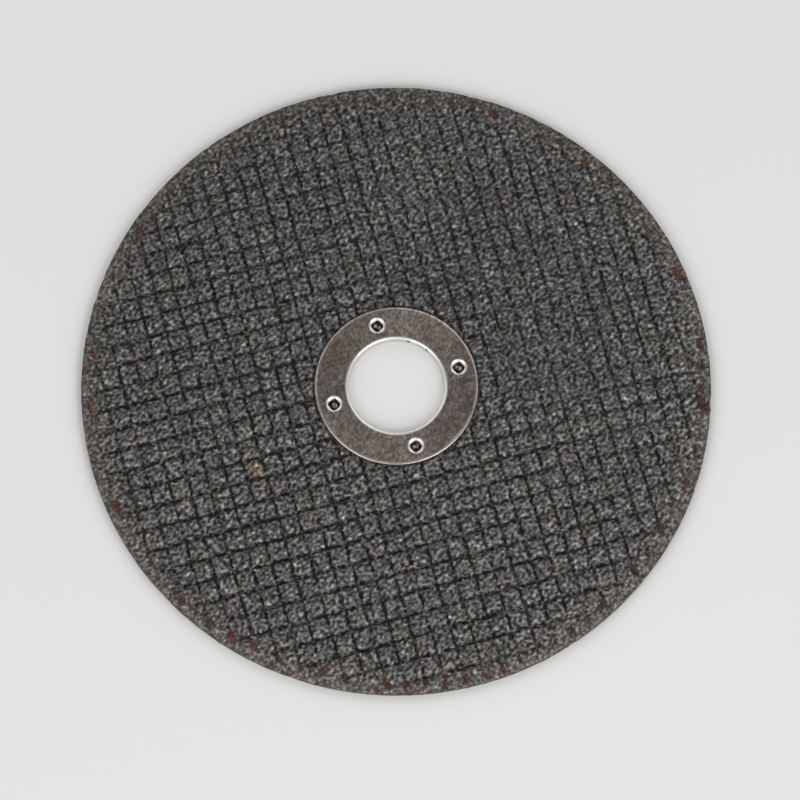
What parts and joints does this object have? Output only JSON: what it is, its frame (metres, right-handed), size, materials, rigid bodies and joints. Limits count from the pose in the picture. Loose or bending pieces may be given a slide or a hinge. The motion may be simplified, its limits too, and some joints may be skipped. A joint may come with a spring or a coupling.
{
  "type": "cut-off wheel",
  "caption": "Thin round abrasive cut-off wheel with a woven net pattern on its face and a stamped steel ring, pierced at points round it, lining its centre bore.",
  "frame": {"origin": "on the bore's axis at the disc's back face, which the wheel lies on", "axes": "+Z along the bore towards the side with the steel ring's flange, +X through one of the pierced points of the ring"},
  "size_m": [0.105, 0.105, 0.0014],
  "materials": {
    "bonded_abrasive": "coarse matt grain in dark resin",
    "ring_steel": "dull tinned sheet with bright rolled edges"
  },
  "bodies": {
    "root": {"abrasive_disc": "bonded_abrasive", "centre_ring": "ring_steel"}
  },
  "joints": []
}
